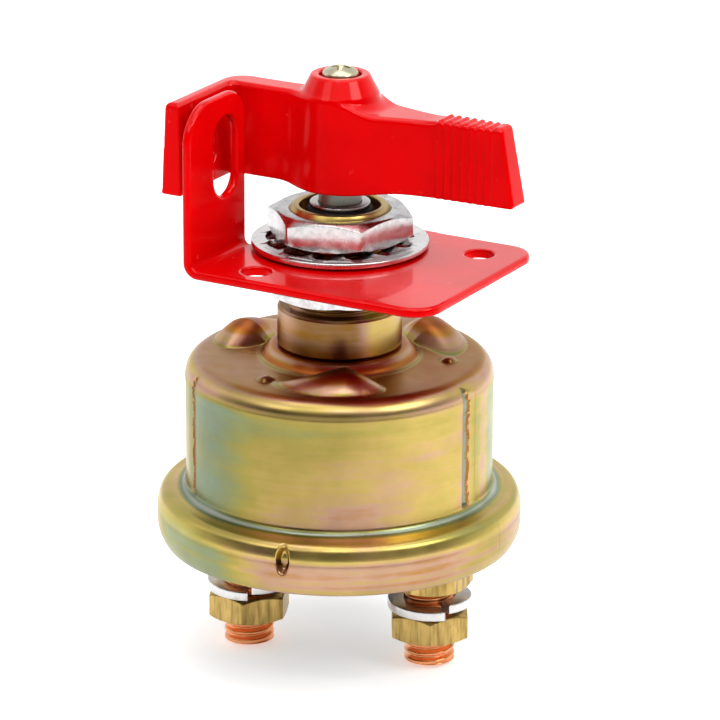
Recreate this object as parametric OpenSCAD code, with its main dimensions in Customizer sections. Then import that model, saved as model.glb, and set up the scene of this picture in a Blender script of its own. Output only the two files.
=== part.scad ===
// Panel-mounted battery master switch with a lockable lever.
// Origin: axis of the threaded stem, on the underside of the lock plate. +Z points up the stem, +X along
// the lock plate towards the grip of the lever. Millimetres.

/* [Housing] */
// Radius of the drawn cup
cup_r = 28.8; // [28.5:0.1:30]
// Height of the flat top of the cup
cup_top_z = -19.5; // [-19.8:0.1:-19.2]
// Sheet thickness of the cup
sheet = 1.2; // [1:0.1:1.4]
// Largest radius of the flared skirt
skirt_r = 34.5; // [34.4:0.1:35]
// Height of the crease between the wall and the skirt
crease_z = -45.2; // [-45.4:0.1:-45]
// Angle of the first of the three pressed lugs
lug_angle = -68; // [-80:1:-60]
// Height of a lug above the top
lug_h = 4.3; // [3:0.1:4.6]
// Angle of the first of the three small pips
pip_angle = -102; // [-106:1:-98]
// Angle of the first of the three lanced grooves
groove_angle = -128; // [-132:1:-124]
// Angle of the first of the three skirt notches
notch_angle = -78; // [-90:1:-70]

/* [Stem and panel nuts] */
// Thread diameter of the stem (3/4 inch)
stem_d = 19.05; // [19:0.05:19.1]
// Height of the open upper end of the stem
stem_top_z = 9.9; // [9.8:0.1:11]
// Radius of the plain neck
neck_r = 11.7; // [11:0.1:12]
// Height of the upper face of the neck
neck_top_z = -9.4; // [-9.6:0.1:-9]
// Height of the lower face of the neck
neck_bottom_z = -17.3; // [-17.4:0.1:-17.2]
// Width across the flats of the stem nuts
stem_nut_af = 24.3; // [23.8:0.1:25]
// Thickness of a stem nut
stem_nut_h = 5.6; // [5:0.1:6]
// Thickness of the lower nut, which backs the lock plate
lower_nut_h = 7.5; // [6:0.1:8]
// Outer radius of the internal-tooth washer
tooth_washer_r = 16.6; // [16:0.1:16.7]
// Number of teeth in the washer
tooth_count = 13; // [12:1:16]

/* [Lock plate] */
// Thickness of the lock plate
plate_t = 1.75; // [1.7:0.05:1.8]
// Far end of the plate along X
plate_x1 = 33; // [32:0.1:34]
// Near edge of the plate along Y
plate_y0 = -27.2; // [-28:0.1:-27]
// Back edge of the plate along Y
plate_y1 = 16.6; // [16.6:0.1:17]
// Outer face of the tab along X
tab_x = -17.6; // [-17.7:0.05:-17.5]
// Far edge of the tab along Y
tab_y1 = -7.6; // [-8:0.1:-7.5]
// Height of the top of the tab
tab_top_z = 32.2; // [31:0.1:33]
// Width of the padlock slot
slot_w = 8.2; // [7.5:0.1:8.6]
// Diameter of the two screw holes
screw_hole_d = 5.5; // [5:0.1:6]

/* [Lever] */
// Radius of the hub
hub_r = 7.9; // [7.7:0.1:8.2]
// Underside of the hub
hub_bottom_z = 14; // [13.5:0.1:14.3]
// Rim of the hub cone
hub_rim_z = 35.05; // [35:0.05:35.5]
// Far end of the grip along X
grip_x1 = 37.2; // [36:0.1:38]
// Outer face of the foot along X
foot_x0 = -23.7; // [-24:0.1:-23.5]
// Near end of the foot along Y
foot_y0 = -23.6; // [-24:0.1:-23]
// Diameter of the padlock hole in the foot
padlock_d = 8; // [7:0.1:8.4]
// Number of grip grooves on each side
rib_count = 7; // [5:1:7]

/* [Shaft] */
// Diameter of the shaft
shaft_d = 8; // [7.9:0.05:8.1]
// Turn from off to on
throw_deg = 90; // [90:1:90]

/* [Terminals] */
// Stud thread diameter (3/8 inch)
stud_d = 9.525; // [9.525:0.005:9.53]
// Distance between the studs
stud_pitch = 36; // [35.5:0.1:36.5]
// Angle of the line through the studs
stud_angle = 13; // [12:1:16]
// Height of the stud tips
stud_tip_z = -79.4; // [-81:0.1:-79]
// Width across the flats of the stud nuts
stud_nut_af = 14.29; // [14:0.01:14.5]
// Underside of the insulating base
base_bottom_z = -58.2; // [-58.5:0.1:-57.8]

/* [Hidden] */
$fn = 96;
eps = 0.01;

// Heights inside the cup
boss_z = neck_bottom_z;            // raised seat under the neck
pip_ring_r = 20.85;
base_top_z = crease_z - 3.2;
head_top_z = base_top_z + 3.3;                // contact face of the stud heads
bridge_bottom_z = head_top_z + 0.1;
bridge_t = 3;
bridge_r = 20.4;                   // ends of the bridge pass inside the posts
bridge_half_w = 6;
bridge_top_z = bridge_bottom_z + bridge_t;
seat_t = 0.8;
rotor_top_z = -21.4;
rotor_disc_z = -31;
clip_z = -20.9;

// Stack under the base
base_nut_h = 5.8;
lock_washer_t = 1.8;
lock_washer_rise = 1.3;            // from one end of the split ring to the other
lock_washer_room = 4.6;            // between the two nuts, which are not tightened
terminal_nut_h = 5.4;
lock_washer_top_z = base_bottom_z - base_nut_h;
terminal_nut_top_z = lock_washer_top_z - lock_washer_room;
stud_shank_r = 4.55;
stud_r = stud_pitch / 2;

// Stack above the plate
tooth_tilt = 18;
tooth_w = 3.2;
tooth_phase = -62;
tooth_t = 1.1;
tooth_half_h = tooth_w / 2 * sin(tooth_tilt) + tooth_t / 2 * cos(tooth_tilt);
tooth_mid_z = plate_t + tooth_half_h;
upper_nut_z = plate_t + 2 * tooth_half_h;

// Bend of the lock plate
bend_in_r = 1.2;
bend_out_r = bend_in_r + plate_t;
bend_x = tab_x + bend_out_r;

shaft_r = shaft_d / 2;
shaft_top_z = 31.5;
bore_gap = 0.05;                   // running clearance of the shaft in the stem
arm_y0 = -5.1;                     // left arm of the lever
arm_y1 = 1.6;
arm_bottom_z = 14.5;
arm_top_z = 31.7;
grip_top_z = 29.4;
grip_bottom_z = 15;
cone_z = 30.3;                     // foot of the hub's cone
cone_rim_r = 5.4;
recess_r = 3.95;                   // recess for the screw's head
recess_depth = 1.2;
screw_end_z = 22;
screw_r = 2.5;

// Points of an arc about c, from angle a0 to a1, in n steps
function arc(c, r, a0, a1, n) =
    [for (i = [0:n]) let (a = a0 + (a1 - a0) * i / n) c + r * [cos(a), sin(a)]];

// Unit normal of an outline at point i, to the right of its direction
function right_of(p, i) =
    let (a = p[max(i - 1, 0)], b = p[min(i + 1, len(p) - 1)], d = (b - a) / norm(b - a)) [d[1], -d[0]];

// Closed strip of thickness t along the right-hand side of an open outline
function strip(p, t) = concat(p, [for (i = [len(p) - 1:-1:0]) p[i] + t * right_of(p, i)]);

module tube(r_out, r_in, z0, z1) {
    translate([0, 0, z0])
        difference() {
            cylinder(r = r_out, h = z1 - z0);
            translate([0, 0, -eps]) cylinder(r = r_in, h = z1 - z0 + 2 * eps);
        }
}

// Hexagon nut with chamfered corners on both faces
module hex_nut(af, h, bore_r, turn = 0) {
    corner_r = af / sqrt(3);
    flat_r = af / 2 - 0.2;             // radius of the flat ring left on a face
    over_r = corner_r + 0.6;
    chamfer = (over_r - flat_r) * 0.5;
    difference() {
        intersection() {
            rotate([0, 0, turn]) cylinder(r = corner_r, h = h, $fn = 6);
            rotate_extrude()
                polygon([[0, 0], [flat_r, 0], [over_r, chamfer], [over_r, h - chamfer], [flat_r, h], [0, h]]);
        }
        translate([0, 0, -eps]) cylinder(r = bore_r, h = h + 2 * eps);
    }
}

// Round bar or strip wound as a helix: section is a list of [radial, axial] points
module helix(section, r, turns, rise, steps_per_turn) {
    steps = round(turns * steps_per_turn);
    k = len(section);
    rings = [for (i = [0:steps])
        let (a = 360 * turns * i / steps, z = rise * i / steps)
        [for (s = section) [(r + s[0]) * cos(a), (r + s[0]) * sin(a), z + s[1]]]];
    sides = [for (i = [0:steps - 1], j = [0:k - 1])
        let (a = i * k + j, b = i * k + (j + 1) % k) [a, b, b + k, a + k]];
    polyhedron(points = [for (ring = rings) each ring],
               faces = concat([[for (j = [k - 1:-1:0]) j]], [[for (j = [0:k - 1]) steps * k + j]], sides),
               convexity = 6);
}

// Outer outline of the cup from the stem hole to the curled lower edge, as [radius, height]
function cup_outline() = concat(
    [[8, boss_z], [12.6, boss_z], [13.6, boss_z - 0.7], [14.6, cup_top_z + 0.3], [15.6, cup_top_z]],
    arc([cup_r - 4, cup_top_z - 4], 4, 90, 0, 6),
    arc([cup_r + 1.3, crease_z + 1.3], 1.3, 180, 270, 4),
    arc([skirt_r - 2, crease_z - 2.5], 2, 75, 0, 5),
    arc([skirt_r - 7, crease_z - 5.6], 7, 0, -52, 6));

// One pressed lug: a long ramp that rises to a crest, then a steep fall. inset shrinks it for its inside.
module lug(inset) {
    foot_t = 0.4;
    corner_r = 2.2 - inset;
    span = 28 - inset * 1.6;
    hull() {
        for (p = [[15.8, -span + 10], [24.0, -span], [24.0, span], [16.4, span]])
            rotate([0, 0, p[1] * (p[0] < 20 ? 0.72 : 0.9)])
                translate([p[0], 0, cup_top_z - 0.6 - inset]) cylinder(r = corner_r, h = foot_t, $fn = 24);
        for (p = [[17.4, 9], [22.2, 10]])
            rotate([0, 0, p[1]])
                translate([p[0], 0, cup_top_z + lug_h - 2.4 - inset * 0.5])
                    sphere(r = 2.4 - inset * 0.5, $fn = 24);
    }
}

// Plan of a lanced groove of depth d: a sharp step at y = 0 and a long flank towards -y
module groove_plan(d, over) {
    polygon([[cup_r + over, 0.2], [cup_r + over, -4.4], [cup_r - d * 0.75, -1.8], [cup_r - d, -0.7],
             [cup_r - d, 0.2]]);
}

// Sheet pressed inwards behind a groove
module groove_back_plan() {
    polygon([[cup_r - 0.4, 2.2], [cup_r - 0.6, -5], [cup_r - 3, -2], [cup_r - 3, 1.2]]);
}

// Places a prism of a groove's plan on the cup; the second of the three is handed the other way
module at_groove(k, z0, h) {
    rotate([0, 0, groove_angle + 120 * k])
        mirror([0, k == 1 ? 1 : 0, 0])
            translate([0, 0, z0]) linear_extrude(height = h) children();
}

module housing() {
    groove_z0 = crease_z + 0.9;
    groove_h = cup_top_z - 1.6 - groove_z0;
    color("darkkhaki")
    difference() {
        union() {
            rotate_extrude($fn = 128) polygon(strip(cup_outline(), sheet));
            for (k = [0:2]) rotate([0, 0, lug_angle + 120 * k]) lug(0);
            for (k = [0:2])
                rotate([0, 0, pip_angle + 120 * k])
                    translate([pip_ring_r, 0, cup_top_z - 0.5]) sphere(r = 1.6, $fn = 32);
            for (k = [0:2]) at_groove(k, groove_z0 - 0.6, groove_h + 1.2) groove_back_plan();
        }
        for (k = [0:2]) at_groove(k, groove_z0, groove_h) groove_plan(1.7, 0.6);
        for (k = [0:2]) rotate([0, 0, lug_angle + 120 * k]) lug(1.1);
        // small notch through the shoulder of the skirt
        for (k = [0:2])
            rotate([0, 0, notch_angle + 120 * k])
                translate([skirt_r - 1.6, 0, crease_z - 3.2]) rotate([0, 30, 0]) {
                    cube([6, 2.6, 2.4], center = true);
                    for (s = [-1, 1])
                        translate([0, 0, s * 1.2]) rotate([0, 90, 0]) cylinder(r = 1.3, h = 6, center = true);
                }
    }
}

// Places a child on a stud: side -1 is left, 1 is right
module at_stud(side) {
    rotate([0, 0, stud_angle]) translate([side * stud_r, 0, 0]) children();
}

// Angles of the rotor's stop finger and of the two posts that catch it
finger_angle = 150.6;
finger_half = 8;
post_r = 2;
post_ring_r = 23;
post_half = asin(post_r / post_ring_r);
stop_slack = 0.8;

module base_plate() {
    rim_t = 5;
    color([0.16, 0.12, 0.10])
    difference() {
        union() {
            translate([0, 0, base_top_z - rim_t]) cylinder(r = 31.4, h = rim_t);
            translate([0, 0, base_top_z - rim_t - 2.2]) cylinder(r1 = 29.4, r2 = 31, h = 2.2 + eps);
            translate([0, 0, base_bottom_z]) cylinder(r = 26, h = 3);
            // lands that carry the bridge when the switch is off
            for (s = [-1, 1])
                rotate([0, 0, stud_angle + 90]) translate([s * stud_r, 0, base_top_z - eps])
                    cylinder(r = 5.5, h = head_top_z - base_top_z);
            for (a = [finger_angle + finger_half + post_half + stop_slack,
                      finger_angle - throw_deg - finger_half - post_half - stop_slack])
                rotate([0, 0, a]) translate([post_ring_r, 0, base_top_z - eps]) cylinder(r = post_r, h = 12);
        }
        for (s = [-1, 1])
            at_stud(s) translate([0, 0, base_bottom_z - 1]) cylinder(r = stud_shank_r, h = 12);
    }
}

module base_gasket() {
    color("dimgray") tube(31, 27.8, base_top_z, base_top_z + 1.6);
}

module stem() {
    color("goldenrod")
    difference() {
        rotate_extrude()
            polygon([[0, stem_top_z], [stem_d / 2 - 0.7, stem_top_z], [stem_d / 2, stem_top_z - 0.7],
                     [stem_d / 2, neck_top_z], [neck_r - 0.4, neck_top_z], [neck_r, neck_top_z - 0.4],
                     [neck_r, neck_bottom_z + 0.3], [neck_r - 0.3, neck_bottom_z],
                     [8, neck_bottom_z], [8, boss_z - sheet], [10.3, boss_z - sheet],
                     [10.3, boss_z - 2 * sheet], [0, boss_z - 2 * sheet]]);
        translate([0, 0, -30]) cylinder(r = shaft_r + bore_gap, h = 60);
        translate([0, 0, 7]) cylinder(r = 7.6, h = 10);
    }
}

module shaft_seal() {
    color([0.08, 0.08, 0.08])
        rotate_extrude() translate([shaft_r + 1.2, 8.5]) circle(r = 1.2, $fn = 32);
}

module shaft_washer() {
    color("silver") tube(5.65, shaft_r, 9.7, 10.5);
}

// Drive end of the shaft: two flats
module drive_section(z0, z1, r) {
    translate([0, 0, z0])
        intersection() {
            cylinder(r = r, h = z1 - z0);
            translate([-r - 1, -r * 0.8, -1]) cube([2 * r + 2, r * 1.6, z1 - z0 + 2]);
        }
}

module shaft() {
    color("lightgray")
    difference() {
        union() {
            translate([0, 0, rotor_top_z]) cylinder(r = shaft_r, h = hub_bottom_z - rotor_top_z);
            drive_section(rotor_disc_z, rotor_top_z, shaft_r);
            drive_section(hub_bottom_z, shaft_top_z, shaft_r);
        }
        tube(shaft_r + 1, 3.3, clip_z, clip_z + 0.8);
        translate([0, 0, 20]) cylinder(r = screw_r, h = 20);
    }
}

module retaining_clip() {
    color("gray")
    difference() {
        tube(6.4, 3.3, clip_z, clip_z + 0.8);
        translate([0, -2.6, clip_z - 1]) cube([10, 5.2, 3]);
    }
}

module rotor() {
    prong_z = head_top_z + 0.7;
    color([0.75, 0.68, 0.50])
    difference() {
        union() {
            translate([0, 0, rotor_disc_z]) cylinder(r = 20, h = 7);
            translate([0, 0, rotor_disc_z]) cylinder(r = 9, h = rotor_top_z - rotor_disc_z);
            translate([0, 0, rotor_disc_z - 4]) cylinder(r = 5.2, h = 4 + eps);
            // prongs that drive the bridge; the bridge lies across the studs' line when off
            rotate([0, 0, stud_angle + 90])
                for (sx = [-1, 1], sy = [-1, 1])
                    translate([sx * 12.5 - 3.5, sy * (bridge_half_w + 0.2) + (sy < 0 ? -2.4 : 0), prong_z])
                        cube([7, 2.4, rotor_disc_z - prong_z + 1]);
            rotate([0, 0, finger_angle])
                intersection() {
                    tube(24.4, 18, -38, rotor_disc_z + 5);
                    translate([0, 0, -40])
                        linear_extrude(height = 20)
                            polygon([[0, 0], 40 * [cos(finger_half), -sin(finger_half)],
                                     40 * [cos(finger_half), sin(finger_half)]]);
                }
        }
        drive_section(rotor_disc_z - eps, rotor_top_z + eps, shaft_r);
    }
}

module contact_spring() {
    wire_r = 0.8;
    z0 = bridge_top_z + seat_t + wire_r;
    z1 = rotor_disc_z - wire_r;
    color("silver")
        translate([0, 0, z0])
            helix([for (a = [0:45:315]) wire_r * [cos(a), sin(a)]], 6.6, 3.5, z1 - z0, 18);
}

module spring_seat() {
    color("gainsboro") tube(8.2, 2.4, bridge_top_z, bridge_top_z + seat_t);
}

module contact_bridge() {
    color([0.72, 0.40, 0.24])
    rotate([0, 0, stud_angle + 90])
    difference() {
        intersection() {
            translate([-bridge_r, -bridge_half_w, bridge_bottom_z])
                cube([2 * bridge_r, 2 * bridge_half_w, bridge_t]);
            translate([0, 0, bridge_bottom_z - 1]) cylinder(r = bridge_r, h = bridge_t + 2);
        }
        translate([0, 0, bridge_bottom_z - 1]) cylinder(r = 2.4, h = bridge_t + 2);
    }
}

// Terminal stud: round head inside, shank through the base, threaded tip
module stud(side) {
    color([0.75, 0.42, 0.26])
    at_stud(side) {
        translate([0, 0, base_top_z]) cylinder(r = 7.2, h = head_top_z - base_top_z);
        translate([0, 0, terminal_nut_top_z - terminal_nut_h])
            cylinder(r = stud_shank_r, h = base_top_z - terminal_nut_top_z + terminal_nut_h + eps);
        translate([0, 0, stud_tip_z + 0.7])
            cylinder(r = stud_d / 2, h = terminal_nut_top_z - terminal_nut_h - stud_tip_z - 0.7);
        translate([0, 0, stud_tip_z]) cylinder(r1 = stud_d / 2 - 0.7, r2 = stud_d / 2, h = 0.7 + eps);
    }
}
module stud_left() { stud(-1); }
module stud_right() { stud(1); }

module base_nut(side, turn) {
    color([0.78, 0.62, 0.32])
        at_stud(side) translate([0, 0, base_bottom_z - base_nut_h])
            hex_nut(stud_nut_af, base_nut_h, stud_shank_r, turn);
}
module base_nut_left() { base_nut(-1, 8); }
module base_nut_right() { base_nut(1, 20); }

// Split ring that drops from one end of the cut to the other, resting on the terminal nut
module lock_washer(side, turn) {
    inner_r = stud_shank_r + 0.35;
    outer_r = 8;
    w = outer_r - inner_r;
    color("silver")
        at_stud(side)
            translate([0, 0, terminal_nut_top_z + lock_washer_rise])
                rotate([0, 0, turn])
                    helix([[w, 0], [w, lock_washer_t], [0, lock_washer_t], [0, 0]], inner_r, 0.985,
                          -lock_washer_rise, 48);
}
module lock_washer_left() { lock_washer(-1, -69); }
module lock_washer_right() { lock_washer(1, -47); }

module terminal_nut(side, turn) {
    color([0.78, 0.62, 0.32])
        at_stud(side) translate([0, 0, terminal_nut_top_z - terminal_nut_h])
            hex_nut(stud_nut_af, terminal_nut_h, stud_shank_r, turn);
}
module terminal_nut_left() { terminal_nut(-1, -21); }
module terminal_nut_right() { terminal_nut(1, -13); }

module lower_stem_nut() {
    color("gainsboro") translate([0, 0, -lower_nut_h]) hex_nut(stem_nut_af, lower_nut_h, stem_d / 2, -2);
}

module upper_stem_nut() {
    color("gainsboro") translate([0, 0, upper_nut_z]) hex_nut(stem_nut_af, stem_nut_h, stem_d / 2, 15.7);
}

module tooth_washer() {
    color("white") {
        tube(tooth_washer_r, 13.6, tooth_mid_z - tooth_t / 2, tooth_mid_z + tooth_t / 2);
        for (k = [0:tooth_count - 1])
            rotate([0, 0, tooth_phase + 360 * k / tooth_count])
                translate([11.9, 0, tooth_mid_z]) rotate([tooth_tilt, 0, 0])
                    cube([4.0, tooth_w, tooth_t], center = true);
    }
}

// Round-cornered box from (x0, y0) to (x1, y1) in plan
module rounded_rect(x0, y0, x1, y1, r) {
    translate([x0 + r, y0]) square([x1 - x0 - 2 * r, y1 - y0]);
    translate([x0, y0 + r]) square([x1 - x0, y1 - y0 - 2 * r]);
    for (x = [x0 + r, x1 - r], y = [y0 + r, y1 - r]) translate([x, y]) circle(r = r, $fn = 48);
}

// Tab outline: y runs along the plate's Y, and z up
module tab_outline() {
    near_r = 7.5;
    far_r = 5.5;
    z0 = bend_out_r;
    translate([plate_y0, z0]) square([tab_y1 - plate_y0, tab_top_z - near_r - z0]);
    translate([plate_y0 + near_r, z0]) square([tab_y1 - far_r - plate_y0 - near_r, tab_top_z - z0]);
    translate([tab_y1 - far_r - 1, z0]) square([far_r + 1, tab_top_z - far_r - z0]);
    translate([plate_y0 + near_r, tab_top_z - near_r]) circle(r = near_r);
    translate([tab_y1 - far_r, tab_top_z - far_r]) circle(r = far_r);
}

slot_y = -14.4;
slot_z0 = 12.7;
slot_z1 = 28;
padlock_y = -14;
padlock_z = 21.2;

module lock_plate() {
    tab_w = tab_y1 - plate_y0;
    corner_r = 4.5;
    color("red")
    difference() {
        union() {
            // flat plate, with its back left corner an arc about the stem
            linear_extrude(height = plate_t) {
                rounded_rect(0, plate_y0, plate_x1, plate_y1, corner_r);
                translate([bend_x, plate_y0]) square([20, tab_w]);
                circle(r = plate_y1);
                translate([-plate_y1 * 0.72, tab_y1 - 1]) square([12, 8]);
                square([12, plate_y1]);
            }
            // bend
            translate([bend_x, plate_y0, bend_out_r]) rotate([-90, 0, 0])
                intersection() {
                    difference() {
                        cylinder(r = bend_out_r, h = tab_w);
                        translate([0, 0, -1]) cylinder(r = bend_in_r, h = tab_w + 2);
                    }
                    translate([-10, 0, -1]) cube([10, 10, tab_w + 2]);
                }
            // upright tab
            translate([tab_x, 0, 0]) rotate([90, 0, 90]) linear_extrude(height = plate_t) tab_outline();
        }
        translate([0, 0, -1]) cylinder(r = stem_d / 2, h = 5);
        for (p = [[25, 8.4], [-5.3, -21.6]])
            translate([p[0], p[1], -1]) cylinder(r = screw_hole_d / 2, h = 5);
        // padlock slot
        translate([tab_x - 1, slot_y, 0]) {
            translate([0, -slot_w / 2, slot_z0 + slot_w / 2]) cube([4, slot_w, slot_z1 - slot_z0 - slot_w]);
            for (z = [slot_z0 + slot_w / 2, slot_z1 - slot_w / 2])
                translate([0, 0, z]) rotate([0, 90, 0]) cylinder(r = slot_w / 2, h = 4);
        }
    }
}

// Plan of the left arm and its foot, with a round outer corner and a small inner fillet
module arm_plan() {
    corner_r = 5;
    foot_t = 3.7;
    inner_x = foot_x0 + foot_t;
    translate([foot_x0 + corner_r, arm_y0]) square([20 - corner_r, arm_y1 - arm_y0]);
    translate([foot_x0, foot_y0]) square([foot_t, arm_y1 - corner_r - foot_y0]);
    intersection() {
        translate([foot_x0 + corner_r, arm_y1 - corner_r]) circle(r = corner_r);
        translate([foot_x0, arm_y1 - corner_r]) square(corner_r);
    }
    difference() {
        translate([inner_x - 1, arm_y0 - 1]) square([2, 4]);
        translate([inner_x + 1, arm_y0 - 1]) circle(r = 1, $fn = 32);
    }
}

rib_pitch = 1.65;
rib_x0 = 22.3;
grip_x0 = 18;
grip_half_w = 3.4;
grip_end_half_w = 2.6;
grip_taper = (grip_half_w - grip_end_half_w) / (grip_x1 - grip_x0);

// Plan of the grip arm: straight sides run off the hub's circle, then a gentler taper along the grip
module grip_plan() {
    lean = asin((hub_r - grip_half_w) / grip_x0);
    half = [[(hub_r - 0.05) * sin(lean), (hub_r - 0.05) * cos(lean)],
            [grip_x0 + grip_half_w * sin(lean), grip_half_w * cos(lean)],
            [grip_x1, grip_end_half_w]];
    polygon(concat(half, [for (k = [2:-1:0]) [half[k][0], -half[k][1]]]));
}

module lever() {
    color("red")
    difference() {
        union() {
            translate([0, 0, arm_bottom_z]) linear_extrude(height = arm_top_z - arm_bottom_z) arm_plan();
            translate([0, 0, grip_bottom_z]) linear_extrude(height = grip_top_z - grip_bottom_z) grip_plan();
            translate([0, 0, hub_bottom_z]) cylinder(r = hub_r, h = cone_z - hub_bottom_z);
            translate([0, 0, cone_z - eps])
                cylinder(r1 = hub_r, r2 = cone_rim_r, h = hub_rim_z - cone_z + eps);
        }
        // waist between the hub and the ribbed grip
        translate([hub_r + 0.2, -10, grip_top_z - 0.6]) cube([rib_x0 - 1 - hub_r, 20, 5]);
        // end of the grip leans outwards at the bottom
        translate([grip_x1, 0, grip_bottom_z])
            rotate([0, -10.5, 0])
                translate([0, -10, -2]) cube([10, 20, 30]);
        // grip grooves
        for (k = [0:rib_count - 1], s = [-1, 1]) {
            x = rib_x0 + rib_pitch * k;
            translate([x, s * (grip_half_w - (x - grip_x0) * grip_taper + 0.25), grip_bottom_z - 1])
                cylinder(r = 0.55, h = 20, $fn = 24);
        }
        for (k = [0:rib_count - 1])
            translate([rib_x0 + rib_pitch * k, -6, grip_top_z + 0.25])
                rotate([-90, 0, 0]) cylinder(r = 0.55, h = 12, $fn = 24);
        // seat for the shaft, clearance for the screw and recess for its head
        drive_section(hub_bottom_z - 1, shaft_top_z, shaft_r);
        translate([0, 0, shaft_top_z - eps]) cylinder(r = screw_r + 0.2, h = 10);
        translate([0, 0, hub_rim_z - recess_depth]) cylinder(r = recess_r, h = 5);
        // padlock hole
        translate([foot_x0 - 1, padlock_y, padlock_z]) rotate([0, 90, 0]) cylinder(d = padlock_d, h = 8);
    }
}

module lever_screw() {
    head_z = hub_rim_z - recess_depth;
    head_r = 3.4;
    head_h = 2.6;
    color("khaki")
    difference() {
        union() {
            translate([0, 0, screw_end_z]) cylinder(r = screw_r, h = head_z - screw_end_z + eps);
            translate([0, 0, head_z])
                rotate_extrude()
                    polygon(concat([[0, 0], [head_r, 0]], arc([head_r - 1.2, head_h - 1.3], 1.2, 0, 90, 5),
                                   [[0, head_h]]));
        }
        // cross recess
        for (a = [0, 90])
            rotate([0, 0, a + 20]) translate([0, 0, head_z + 1.9])
                cube([3.4, 0.8, 2.4], center = true);
    }
}

housing();
base_plate();
base_gasket();
stem();
shaft_seal();
shaft_washer();
shaft();
retaining_clip();
rotor();
contact_spring();
spring_seat();
contact_bridge();
stud_left();
stud_right();
base_nut_left();
base_nut_right();
lock_washer_left();
lock_washer_right();
terminal_nut_left();
terminal_nut_right();
lower_stem_nut();
lock_plate();
tooth_washer();
upper_stem_nut();
lever();
lever_screw();
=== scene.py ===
"""Looks for the battery master switch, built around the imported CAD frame. Lengths are in millimetres."""
import math
from itertools import product

import bpy
import numpy as np
from mathutils import Matrix, Vector


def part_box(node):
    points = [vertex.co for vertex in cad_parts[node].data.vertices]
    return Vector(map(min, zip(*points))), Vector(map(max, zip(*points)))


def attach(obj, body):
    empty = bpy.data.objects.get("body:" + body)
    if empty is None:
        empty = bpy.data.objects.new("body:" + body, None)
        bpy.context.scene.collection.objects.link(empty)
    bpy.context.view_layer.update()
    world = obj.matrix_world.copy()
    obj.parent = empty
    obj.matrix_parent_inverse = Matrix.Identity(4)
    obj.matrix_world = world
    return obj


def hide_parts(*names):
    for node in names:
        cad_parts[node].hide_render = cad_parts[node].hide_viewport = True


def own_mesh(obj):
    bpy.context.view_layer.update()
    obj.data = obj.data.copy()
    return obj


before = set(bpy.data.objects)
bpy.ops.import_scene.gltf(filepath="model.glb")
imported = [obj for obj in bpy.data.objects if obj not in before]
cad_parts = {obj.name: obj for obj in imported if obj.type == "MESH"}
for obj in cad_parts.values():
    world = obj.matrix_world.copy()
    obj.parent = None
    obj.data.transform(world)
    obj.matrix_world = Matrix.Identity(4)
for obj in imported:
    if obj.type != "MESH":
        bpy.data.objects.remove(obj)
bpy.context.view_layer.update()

MM = 0.001
COARSE = 1.0
RIGID, LEVER = "switch_body", "lever_body"
FACING_DEG = -60.6           # plan direction of the side that faces the camera


# ---------------------------------------------------------------- mesh tools
def add_mesh(name, points, faces, node, material, body=RIGID):
    """Makes a smooth-shaded piece that rides on a body in place of a node.

    Faces of more than four corners are the ends of a swept section, and stay flat."""
    mesh = bpy.data.meshes.new(name)
    mesh.from_pydata((np.asarray(points) * MM).tolist(), [], [tuple(face) for face in faces])
    mesh.validate()
    mesh.polygons.foreach_set("use_smooth", [len(polygon.vertices) <= 4 for polygon in mesh.polygons])
    mesh.update()
    piece = bpy.data.objects.new(name, mesh)
    bpy.context.scene.collection.objects.link(piece)
    mesh.materials.append(material)
    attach(piece, body)
    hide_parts(node)
    return piece


def smooth_min(a, b, k):
    """Union of two distance fields, blended over a width of k."""
    h = np.maximum(k - np.abs(a - b), 0) / k
    return np.minimum(a, b) - h * h * k / 4


def smooth_max(a, b, k):
    """Intersection of two distance fields, blended over a width of k."""
    return -smooth_min(-a, -b, k)


def round_both(a, b, r):
    """Intersection of two distance fields with an edge of radius r."""
    return np.minimum(np.maximum(a, b), -r) + np.hypot(np.maximum(a + r, 0), np.maximum(b + r, 0))


def box2(x, y, x0, x1, y0, y1, r=0.0):
    """Distance to a rectangle with corners of radius r."""
    qx = np.abs(x - (x0 + x1) / 2) - (x1 - x0) / 2 + r
    qy = np.abs(y - (y0 + y1) / 2) - (y1 - y0) / 2 + r
    return np.hypot(np.maximum(qx, 0), np.maximum(qy, 0)) + np.minimum(np.maximum(qx, qy), 0) - r


def ramp(x, x0, x1):
    """0 before x0, 1 after x1, smooth between."""
    t = np.clip((x - x0) / (x1 - x0), 0, 1)
    return t * t * (3 - 2 * t)


def bell(x, middle, width):
    """1 at the middle, falling smoothly to 0 on both sides."""
    return np.exp(-((x - middle) / width) ** 2)


def blend(x, y, share):
    return x + (y - x) * share


def turn_gap(angle, centre_deg):
    """Signed angle in degrees from a centre in degrees to an angle in radians."""
    return (np.degrees(angle) - centre_deg + 180) % 360 - 180


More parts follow.
